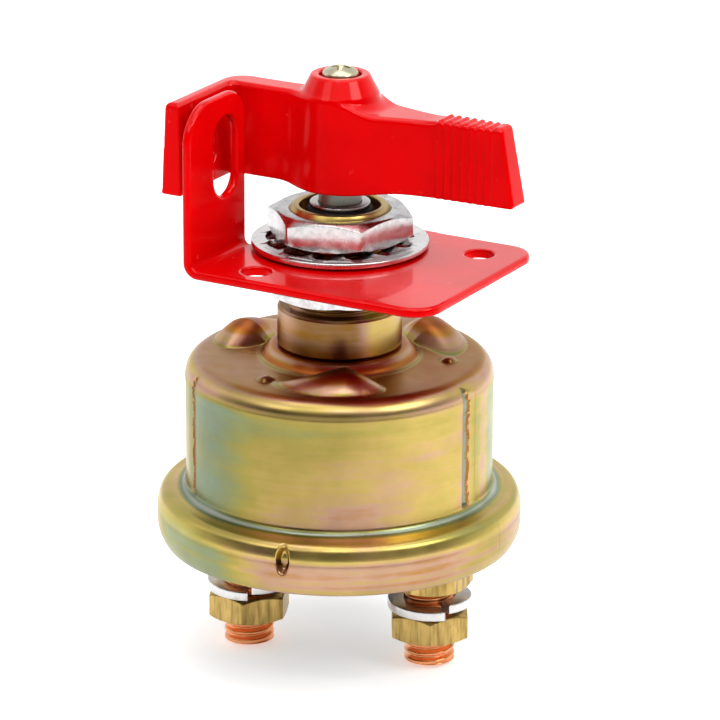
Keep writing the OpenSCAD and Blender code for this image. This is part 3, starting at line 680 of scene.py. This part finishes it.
def wound_spring():
    """The spring over the contact bridge, wound from the bottom to the top of the CAD spring's box."""
    low, high = (corner[2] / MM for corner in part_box("contact_spring"))
    wire_r, coil_r, turns, per_turn, travel = 0.8, 6.6, 3.5, 24, 1.5
    steps = round(turns * per_turn)
    round_wire = np.arange(12) * math.pi / 6
    section = np.stack([coil_r + wire_r * np.cos(round_wire), wire_r * np.sin(round_wire)], -1)
    rings = []
    for i in range(steps + 1):
        lift = low + wire_r + (high - low - 2 * wire_r) * i / steps
        rings.append(stand(section + [0, lift], 2 * math.pi * i / per_turn))
    spring = swept("contact_spring_wound", rings, "contact_spring", STEEL, LEVER)
    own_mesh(spring)


wound_spring()
spring_washer("split_washer_left", "lock_washer_left", on_stud(-1), STUD_LINE_DEG - 69)
spring_washer("split_washer_right", "lock_washer_right", on_stud(1), STUD_LINE_DEG - 47)

TOOTH_COUNT, TOOTH_TILT, TOOTH_PHASE, WASHER_MID_Z = 13, math.radians(18), math.radians(-62), 2.72
RING_R0, RING_R1, RING_HALF_T, RING_EDGE_R = 13.9, 16.6, 0.52, 0.22
TOOTH_R0, TOOTH_R1, TOOTH_HALF_W, TOOTH_HALF_T, TOOTH_EDGE_R = 10.0, 15.0, 0.98, 0.5, 0.2


def tooth_washer_field(x, y, z):
    """A ring with teeth on its inner edge, each one twisted out of the ring's plane."""
    r = np.hypot(x, y)
    pitch = 2 * math.pi / TOOTH_COUNT
    a = np.arctan2(y, x) - TOOTH_PHASE
    a = (a + pitch / 2) % pitch - pitch / 2
    along, across = r * np.cos(a), r * np.sin(a)
    height = z - WASHER_MID_Z
    ring = round_both(np.maximum(r - RING_R1, RING_R0 - r), np.abs(height) - RING_HALF_T, RING_EDGE_R)
    twist = TOOTH_TILT * ramp(14.6 - along, 0, 2.2)
    u = across * np.cos(twist) + height * np.sin(twist)
    w = height * np.cos(twist) - across * np.sin(twist)
    half = TOOTH_HALF_W + 0.16 * (along - TOOTH_R0) + 0.9 * ramp(along, 12.9, 14.2)
    plan = np.maximum(np.abs(u) - half, np.maximum(TOOTH_R0 - along, along - TOOTH_R1))
    tooth = round_both(plan, np.abs(w) - TOOTH_HALF_T, TOOTH_EDGE_R)
    return smooth_min(ring, tooth, 0.5)


points, quads = skin(tooth_washer_field, (-16.8, -16.8, 1.4), (16.8, 16.8, 4.1), 0.17 * COARSE)
add_mesh("tooth_lock_washer", points, quads, "tooth_washer", WASHER)

WASHER_R, WASHER_Z0, WASHER_Z1 = 5.65, 9.7, 10.5
washer = [[WASHER_R, WASHER_Z0], [WASHER_R, WASHER_Z1], [BORE_R, WASHER_Z1], [BORE_R, WASHER_Z0]]
points, quads = wrap(turn_profile(fillet(washer, 0.2), 96))
add_mesh("bore_washer", points, quads, "shaft_washer", STEEL, LEVER)

SHAFT_R, SHAFT_Z0, SHAFT_Z1, SHAFT_HALF_FLAT = 4.0, -31.0, 31.5, 3.2
CLIP_GROOVE_R, CLIP_GROOVE_Z0, CLIP_GROOVE_Z1 = 3.3, -20.9, -20.1
LOWER_FLATS_Z, UPPER_FLATS_Z = -21.4, 14.4
SCREW_SEAT, SCREW_R, SCREW_END_Z, SCREW_HEAD_R = RIM_Z - RECESS_DEPTH, 2.45, 22.0, 3.4
DOME_R, DOME_DROP, CROSS_TURN, CROSS_REACH = 6.0, 3.4, math.radians(20), 1.9


def shaft_rows():
    """The shaft with its clip groove, its screw hole, and two flats at each end."""
    hole_r, hole_z, axis_r = 2.5, 20.0, 0.02
    outline = [[SHAFT_R, SHAFT_Z0], [SHAFT_R, CLIP_GROOVE_Z0], [CLIP_GROOVE_R, CLIP_GROOVE_Z0],
               [CLIP_GROOVE_R, CLIP_GROOVE_Z1], [SHAFT_R, CLIP_GROOVE_Z1], [SHAFT_R, WASHER_Z1],
               [SHAFT_R, UPPER_FLATS_Z], [SHAFT_R, SHAFT_Z1], [hole_r, SHAFT_Z1], [hole_r, hole_z],
               [axis_r, hole_z], [axis_r, SHAFT_Z0]]
    rows = turn_profile(fillet(outline, 0.15, 2), 72)
    z = rows[..., 2]
    on_flats = (z > UPPER_FLATS_Z - 0.3) | (z < LOWER_FLATS_Z)
    flattened = np.clip(rows[..., 1], -SHAFT_HALF_FLAT, SHAFT_HALF_FLAT)
    rows[..., 1] = np.where(on_flats, flattened, rows[..., 1])
    return rows


points, quads = wrap(shaft_rows())
add_mesh("shaft_turned", points, quads, "shaft", SHAFT, LEVER)


def screw_field(x, y, z):
    """A domed head with a cross recess, and a plain shank inside the lever."""
    r = np.hypot(x, y)
    dome = np.sqrt(r ** 2 + (z - SCREW_SEAT + DOME_DROP) ** 2) - DOME_R
    head = round_both(r - SCREW_HEAD_R, np.maximum(SCREW_SEAT - z, dome), 0.45)
    shank = np.maximum(r - SCREW_R, np.maximum(z - SCREW_SEAT - 0.5, SCREW_END_Z - z))
    u = np.abs(x * math.cos(CROSS_TURN) + y * math.sin(CROSS_TURN))
    v = np.abs(y * math.cos(CROSS_TURN) - x * math.sin(CROSS_TURN))
    half = 0.42 + 0.05 * (z - SCREW_SEAT)
    cross = np.minimum(np.maximum(u - half, v - CROSS_REACH), np.maximum(v - half, u - CROSS_REACH))
    cross_floor = SCREW_SEAT + 1.0 + 0.55 * r
    recess = np.maximum(cross, (cross_floor - z) * 0.85)
    return np.minimum(smooth_max(head, -recess, 0.12), shank)


points, quads = skin(screw_field, (-3.6, -3.6, 21.6), (3.6, 3.6, 36.8), 0.11 * COARSE)
add_mesh("pan_head_screw", points, quads, "lever_screw", SCREW, LEVER)


# ---------------------------------------------------------------- housing
CUP_R, CUP_TOP, SHEET, SHOULDER, SKIRT_R, CREASE = 29.0, -19.5, 1.2, 3.4, 34.5, -45.2
LUG_DEG, LUG_H, LUG_RING, LUG_WIDTH, LUG_HALF_DEG, LUG_CREST_DEG = -68, 4.3, 20.0, 5.4, 31, 10.5
PIP_DEG, PIP_H, PIP_R, PIP_RING = -102, 0.85, 1.7, 20.85
GROOVE_DEG, GROOVE_CUT, GROOVE_SHOULDER = -128, 0.45, 0.3
NOTCH_DEG, NOTCH_DEPTH, NOTCH_DROP, NOTCH_HALF_W, NOTCH_HALF_H = -78, 1.9, 3.4, 1.45, 3.0


def arc_points(cx, cz, r, a0, a1, n):
    """n points of an arc between two angles in degrees, as [radius, height]."""
    t = np.radians(np.linspace(a0, a1, n))
    return [[cx + r * math.cos(k), cz + r * math.sin(k)] for k in t]


def evenly(points, step):
    """Adds points along an outline so that none are further apart than step."""
    out = [points[0]]
    for a, b in zip(points[:-1], points[1:]):
        n = max(1, int(math.ceil(math.dist(a, b) / step)))
        out += [[a[0] + (b[0] - a[0]) * k / n, a[1] + (b[1] - a[1]) * k / n] for k in range(1, n + 1)]
    return np.array(out)


def cup_outside():
    """Outer outline of the cup from the stem hole to the curled lower edge."""
    boss = NECK_BOTTOM
    path = [[8.0, boss], [12.4, boss], [13.2, boss - 0.25], [14.2, boss - 1.1], [14.8, CUP_TOP + 0.35],
            [15.3, CUP_TOP + 0.08], [16.0, CUP_TOP]]
    path += arc_points(CUP_R - SHOULDER, CUP_TOP - SHOULDER, SHOULDER, 90, 4, 16)
    path += [[CUP_R + 0.10, CUP_TOP - SHOULDER - 0.3], [CUP_R + 0.07, CUP_TOP - SHOULDER - 1.2],
             [CUP_R, CUP_TOP - SHOULDER - 2.0]]
    path += arc_points(CUP_R + 1.5, CREASE + 1.5, 1.5, 180, 262, 9)
    path += [[CUP_R + 2.6, CREASE - 0.25]]
    path += arc_points(SKIRT_R - 2.25, CREASE - 2.2, 1.85, 78, 18, 10)
    path += [[SKIRT_R - 0.16, CREASE - 2.7], [SKIRT_R - 0.04, CREASE - 3.3],
             [SKIRT_R - 0.12, CREASE - 3.9], [SKIRT_R - 0.02, CREASE - 4.5]]
    path += arc_points(SKIRT_R - 7, CREASE - 6.2, 7, 3, -35, 12)
    return np.array(path)


def lug_height(x, y):
    """Height of the three pressed lugs over the top: a long ramp up to a crest, then a steep fall."""
    r, a = np.hypot(x, y), np.arctan2(y, x)
    total = np.zeros_like(r)
    soft = 0.5
    for k in range(3):
        t = turn_gap(a, LUG_DEG + 120 * k)
        up = np.clip((t + LUG_HALF_DEG) / (LUG_CREST_DEG + LUG_HALF_DEG), 0, 1)
        down = np.clip((LUG_HALF_DEG - t) / (LUG_HALF_DEG - LUG_CREST_DEG), 0, 1)
        along = np.clip(smooth_min(up ** 1.1, down ** 0.8, 0.36) / 0.91, 0, 1)
        width = LUG_WIDTH * np.clip(along * 1.25, 0, 1) ** 0.5
        middle = LUG_RING + 0.9 * (1 - along)
        across = np.clip(1 - ((r - middle) / np.maximum(width, 0.4)) ** 2, 0, 1)
        bump = along * across ** 0.75 * LUG_H
        total = np.maximum(total, np.sqrt(bump ** 2 + soft ** 2) - soft)
    return total


def pip_height(x, y):
    """Height of the three small pips between the lugs."""
    total = np.zeros_like(x)
    for k in range(3):
        t = math.radians(PIP_DEG + 120 * k)
        d = np.hypot(x - PIP_RING * math.cos(t), y - PIP_RING * math.sin(t)) / PIP_R
        total = np.maximum(total, PIP_H * np.clip(1 - d ** 2, 0, 1) ** 0.8)
    return total


def groove_dip(a, z):
    """The three lanced grooves down the wall: a sharp edge, a torn far side and a soft shoulder.

    Returns the depth, and where the torn side is bare, where it is red and where the painted shadow along the
    sharp lip is.
    The second groove is turned the other way round."""
    total = np.zeros_like(z)
    bare, torn_red, lip_shadow = total.copy(), total.copy(), total.copy()
    below = ramp(CUP_TOP - z, 0.5, 4.0)
    for k in range(3):
        across = -np.radians(turn_gap(a, GROOVE_DEG + 120 * k) * (-1 if k == 1 else 1)) * CUP_R
        torn = 1 + 0.22 * np.sin(z * 5.1 + 2 * np.sin(z * 1.7)) * np.sin(z * 2.3 + 1)
        far = (0.8 + 1.3 * below) * torn
        cut = GROOVE_CUT * np.clip(1 - across / far, 0, 1)
        shoulder = GROOVE_SHOULDER * (1 - ramp(across, 0.6, 1.2 + 3.6 * below))
        ends = ramp(z, CREASE + 0.5, CREASE + 2.2) * (1 - ramp(z, CUP_TOP - 2.2, CUP_TOP - 0.5))
        total = np.maximum(total, (cut + shoulder) * ramp(across, -0.12, 0.12) * ends)
        shown = ends * (across > -0.2) * (across < far)
        bare = np.maximum(bare, shown * (across > 0.2 * far) * (across < 0.66 * far))
        torn_red = np.maximum(torn_red, shown * (across >= 0.66 * far))
        lip_shadow = np.maximum(lip_shadow, ends * bell(across, 0, 0.26))
    return total, bare, torn_red, lip_shadow


def notch_dip(a, z):
    """Depth of the three small notches in the shoulder of the skirt."""
    total = np.zeros_like(z)
    for k in range(3):
        u = np.radians(turn_gap(a, NOTCH_DEG + 120 * k)) * SKIRT_R
        v = z - (CREASE - NOTCH_DROP)
        d = np.hypot(u / NOTCH_HALF_W, v / NOTCH_HALF_H)
        total = np.maximum(total, NOTCH_DEPTH * (1 - ramp(d, 0.45, 1.0)))
    return total


def cup_columns():
    """Angles of the housing's columns, in degrees, closer together at the grooves and notches."""
    angles = set(np.round(np.arange(0, 360, 0.6 * COARSE), 3))
    for k in range(3):
        flip = -1 if k == 1 else 1
        for t in np.arange(-9.5, 1.2, 0.15 * COARSE):
            angles.add(round((GROOVE_DEG + 120 * k + flip * t) % 360, 3))
        for t in np.arange(-3.2, 3.2, 0.2 * COARSE):
            angles.add(round((NOTCH_DEG + 120 * k + t) % 360, 3))
    return np.array(sorted(angles))


def cup_paint(a, r, z, raised):
    """Film thickness of the plating at each point, and its painted light and shade."""
    def near(middle, width):
        """A bell round the housing, centred at an angle from the side that faces the camera."""
        return bell(turn_gap(a, FACING_DEG + middle), 0, width)

    around = turn_gap(a, FACING_DEG)
    low = np.clip((CUP_TOP - z) / (CUP_TOP - CREASE), 0, 1)
    wall = (0.36 - 0.33 * near(-58, 20) + 0.13 * bell(low, 0.95, 0.32) * near(14, 42)
            + 0.14 * near(54, 4) - 0.12 * near(62, 4) + 0.16 * near(68, 4)
            - 0.30 * near(79, 8) + 0.16 * near(130, 30) - 0.2 * near(-150, 30)
            - 0.12 * bell(low, 0.22, 0.1) * near(-15, 40))
    top = 0.66 + 0.08 * near(40, 60) - 0.06 * near(-60, 40) - 0.12 * near(180, 60)
    # paler film across the shoulder, palest at the front, as a painted highlight
    film = blend(top, 0.48 - 0.05 * near(0, 40), ramp(CUP_TOP - z, 0.05, 0.9))
    film = blend(film, wall, ramp(CUP_TOP - z, 2.6, 4.6))
    on_lug = ramp(raised, 0.25, 1.0)
    # lugs: pale film on their lower faces as a painted highlight, red-brown towards the crest
    film = blend(film, 0.46 + 0.36 * ramp(raised, 1.2, 3.4), on_lug)
    film = blend(film, 0.20, bell(raised, 0.22, 0.16) * (raised > 0.02))
    rise = ramp(z, CUP_TOP + 0.1, CUP_TOP + 0.9) * (r < 15.4)
    film = blend(film, 0.84 - 0.34 * bell(r, 13.4, 0.7), rise)
    rim = bell(r, 15.2, 0.35) * (z > CUP_TOP - 1) * (z < CUP_TOP + 0.4)
    film = blend(film, 0.25, rim)
    # skirt
    outside = ramp(r, CUP_R + 0.9, CUP_R + 1.8)
    ring = (0.50 - 0.14 * ramp(r, CUP_R + 1.6, CUP_R + 2.8) - 0.05 * near(-70, 30)
            + 0.10 * np.sin((r - CUP_R) * 2.4) * near(62, 34))
    under = (0.52 - 0.40 * near(-60, 24) - 0.16 * near(-42, 10) - 0.08 * near(60, 16)
             - 0.15 * near(150, 50) + 0.05 * np.sin(z * 2.9))
    film = blend(film, blend(ring, under, ramp(CREASE - 2.9 - z, 0, 1.6)), outside)
    # painted highlight: a whitish bare-metal line along the crease at the foot of the wall
    crease_highlight = bell(z, CREASE + 0.35, 0.42) * (np.abs(r - CUP_R - 0.6) < 1.2)
    film = blend(film, -0.20, crease_highlight * 0.9)
    # painted light and shade: brighter towards the right, where the lamps are, a painted highlight band along
    # the shoulder, lugs and boss brighter, and the lower skirt darker
    painted_light = 0.57 + 0.28 * ramp(around, -5, 42) * (1 - ramp(around, 90, 170))
    painted_light = blend(0.64, painted_light, ramp(CUP_TOP - z, 0.0, 1.0)) + 0.4 * bell(CUP_TOP - z, 1.3, 0.9)
    painted_light = blend(painted_light, 0.86, np.maximum(on_lug, rise))
    painted_light = blend(painted_light, 0.70 + 0.3 * ramp(z, CREASE - 4, CREASE - 2.5), outside)
    return np.clip(film, -0.2, 0.98), np.clip(painted_light, 0.2, 1.0)


def housing():
    """The pressed cup: its outline turned round, with lugs, pips, grooves and notches, as a closed sheet."""
    outline = evenly(cup_outside().tolist(), 0.4 * COARSE)
    # half the rows are enough on the plain middle of the wall
    wall = (outline[:, 0] < CUP_R + 0.2) & (outline[:, 1] < CUP_TOP - 7) & (outline[:, 1] > CREASE + 3)
    outline = outline[~wall | (np.arange(len(outline)) % 2 == 0)]
    tangent = np.gradient(outline, axis=0)
    tangent /= np.linalg.norm(tangent, axis=1, keepdims=True)
    inward = np.stack([tangent[:, 1], -tangent[:, 0]], 1)
    angles = np.radians(cup_columns())[None, :]
    r0 = outline[:, 0][:, None] + 0 * angles
    z0 = outline[:, 1][:, None] + 0 * angles
    a = angles + 0 * r0
    x0, y0 = r0 * np.cos(a), r0 * np.sin(a)
    lug = lug_height(x0, y0) * (z0 > CUP_TOP - 3)
    pips = pip_height(x0, y0) * (z0 > CUP_TOP - 1)
    on_wall = (z0 < CUP_TOP - 0.3) & (z0 > CREASE + 0.3)
    dip, bare, torn_red, lip_shadow = (part * on_wall for part in groove_dip(a, z0))
    notch = np.where(z0 < CREASE - 0.2, notch_dip(a, z0), 0)
    shells = []
    for offset in (0.0, SHEET):
        r = r0 + inward[:, 0][:, None] * offset - dip - notch * 0.85
        z = z0 + inward[:, 1][:, None] * offset + np.maximum(lug, pips) - notch * 0.25
        shells.append(np.stack([r * np.cos(a), r * np.sin(a), z], -1))
    rows = np.concatenate([shells[0], shells[1][::-1]])
    points, quads = wrap(rows)
    piece = add_mesh("housing_pressing", points, quads[:, ::-1], "housing", ZINC)
    film, painted_light = cup_paint(a, r0, z0, lug + pips * 0.8)
    film = film + (-0.12 - film) * bare + (0.68 - film) * torn_red
    # painted shadow: a dark line along each groove's sharp lip; the bare and torn strips are darkened too
    painted_light = painted_light * (1 - 0.75 * lip_shadow) * (1 - 0.45 * bare - 0.35 * torn_red)
    # painted shade: darker in the notches, deepest where they are deepest
    painted_light = painted_light * (1 - 0.2 * np.clip(notch / 2, 0, 1))
    paint(piece, np.concatenate([film, film[::-1]]), np.concatenate([painted_light, painted_light[::-1]]))


housing()


# ---------------------------------------------------------------- floor, lights and camera
def area_light(name, place, target, width, height, power):
    """A rectangular light at a place in metres, turned to a target."""
    data = bpy.data.lights.new(name, "AREA")
    data.shape = "RECTANGLE"
    data.size = width
    data.size_y = height
    data.energy = power
    lamp = bpy.data.objects.new(name, data)
    lamp.location = place
    lamp.rotation_euler = (Vector(target) - Vector(place)).to_track_quat("-Z", "Y").to_euler()
    bpy.context.scene.collection.objects.link(lamp)


def stage():
    """A pale floor just under the studs, which glows a little so that it comes out white."""
    floor_z = (STUD_END_Z - 0.2) * MM
    half = 6.0
    corners = [(-half, -half, floor_z), (half, -half, floor_z), (half, half, floor_z), (-half, half, floor_z)]
    mesh = bpy.data.meshes.new("floor")
    mesh.from_pydata(corners, [], [(0, 1, 2, 3)])
    floor = bpy.data.objects.new("floor", mesh)
    bpy.context.scene.collection.objects.link(floor)
    pale = Nodes("pale_floor").finish(Base_Color=(0.92, 0.92, 0.92, 1), Roughness=0.9,
                                      Emission_Color=(1, 1, 1, 1), Emission_Strength=0.62)
    mesh.materials.append(pale)


def sky():
    """Studio surroundings: white behind and overhead, dark at camera height on the camera's side."""
    world = bpy.data.worlds.new("studio")
    world.use_nodes = True
    tree = world.node_tree
    coord = tree.nodes.new("ShaderNodeTexCoord")
    split = tree.nodes.new("ShaderNodeSeparateXYZ")
    tree.links.new(coord.outputs["Generated"], split.inputs[0])

    def heights(stops):
        """Brightness by elevation in degrees."""
        spread = tree.nodes.new("ShaderNodeMapRange")
        spread.inputs["From Min"].default_value = -1
        tree.links.new(split.outputs["Z"], spread.inputs["Value"])
        node = tree.nodes.new("ShaderNodeValToRGB")
        tree.links.new(spread.outputs["Result"], node.inputs["Fac"])
        fill_ramp(node, [(0.5 + 0.5 * math.sin(math.radians(elevation)), (value, value, value, 1))
                         for elevation, value in stops])
        return node.outputs["Color"]

    front = heights(((-20, 0.30), (-3, 0.20), (3, 0.03), (17, 0.03), (28, 0.25), (36, 1.5), (50, 1.5),
                     (62, 0.5)))
    back = heights(((-20, 0.6), (0, 1.3), (28, 1.3), (48, 0.9), (90, 0.8)))
    toward = tree.nodes.new("ShaderNodeVectorMath")
    toward.operation = "DOT_PRODUCT"
    facing = math.radians(FACING_DEG)
    toward.inputs[1].default_value = (math.cos(facing), math.sin(facing), 0)
    tree.links.new(coord.outputs["Generated"], toward.inputs[0])
    side = tree.nodes.new("ShaderNodeMapRange")
    side.interpolation_type = "SMOOTHSTEP"
    side.inputs["From Min"].default_value = -0.35
    side.inputs["From Max"].default_value = 0.45
    tree.links.new(toward.outputs["Value"], side.inputs["Value"])
    mix = tree.nodes.new("ShaderNodeMix")
    mix.data_type = "RGBA"
    tree.links.new(side.outputs["Result"], mix.inputs[MIX_FACTOR])
    tree.links.new(back, mix.inputs[MIX_A])
    tree.links.new(front, mix.inputs[MIX_B])
    tree.links.new(mix.outputs[MIX_RESULT], tree.nodes["Background"].inputs["Color"])
    bpy.context.scene.world = world


VIEW_AZIMUTH, VIEW_ELEVATION, VIEW_ROLL = 29.4, 18.8, 0.25       # degrees
CAMERA_PLACE = (421.58, -740.37, 269.20)
SENSOR, LENS = 36.0, 239.4


def camera():
    """Looks along the view angles from its place, far off, through a long lens."""
    a, e = math.radians(VIEW_AZIMUTH), math.radians(VIEW_ELEVATION)
    back = Vector((math.sin(a) * math.cos(e), -math.cos(a) * math.cos(e), math.sin(e)))
    right = Vector((math.cos(a), math.sin(a), 0))
    up = back.cross(right)
    roll = math.radians(VIEW_ROLL)
    tilted = right * math.cos(roll) + up * math.sin(roll)
    up = up * math.cos(roll) - right * math.sin(roll)
    data = bpy.data.cameras.new("camera")
    data.sensor_width = SENSOR
    data.lens = LENS
    data.clip_start = 0.05
    data.clip_end = 50
    obj = bpy.data.objects.new("camera", data)
    place = Vector(CAMERA_PLACE) * MM
    turn = Matrix((tilted, up, back)).transposed().to_4x4()
    obj.matrix_world = Matrix.Translation(place) @ turn
    bpy.context.scene.collection.objects.link(obj)
    bpy.context.scene.camera = obj


stage()
sky()
camera()
MIDDLE = (0, 0, -0.02)
area_light("right_box", (0.67, -0.07, 0.53), MIDDLE, width=0.42, height=0.34, power=2.8)
area_light("left_box", (-0.24, -0.63, 0.53), MIDDLE, width=0.34, height=0.28, power=0.55)
area_light("front_strip", (0.28, -0.50, 0.63), (0, 0, 0), width=0.26, height=0.05, power=0.75)
area_light("overhead", (0.05, 0.0, 0.90), MIDDLE, width=0.9, height=0.8, power=5.5)
area_light("left_strip", (-0.75, -0.20, 0.22), MIDDLE, width=0.16, height=0.5, power=0.12)
scene = bpy.context.scene
scene.view_settings.view_transform = "Standard"
scene.view_settings.look = "Medium High Contrast"
scene.view_settings.exposure = -0.7
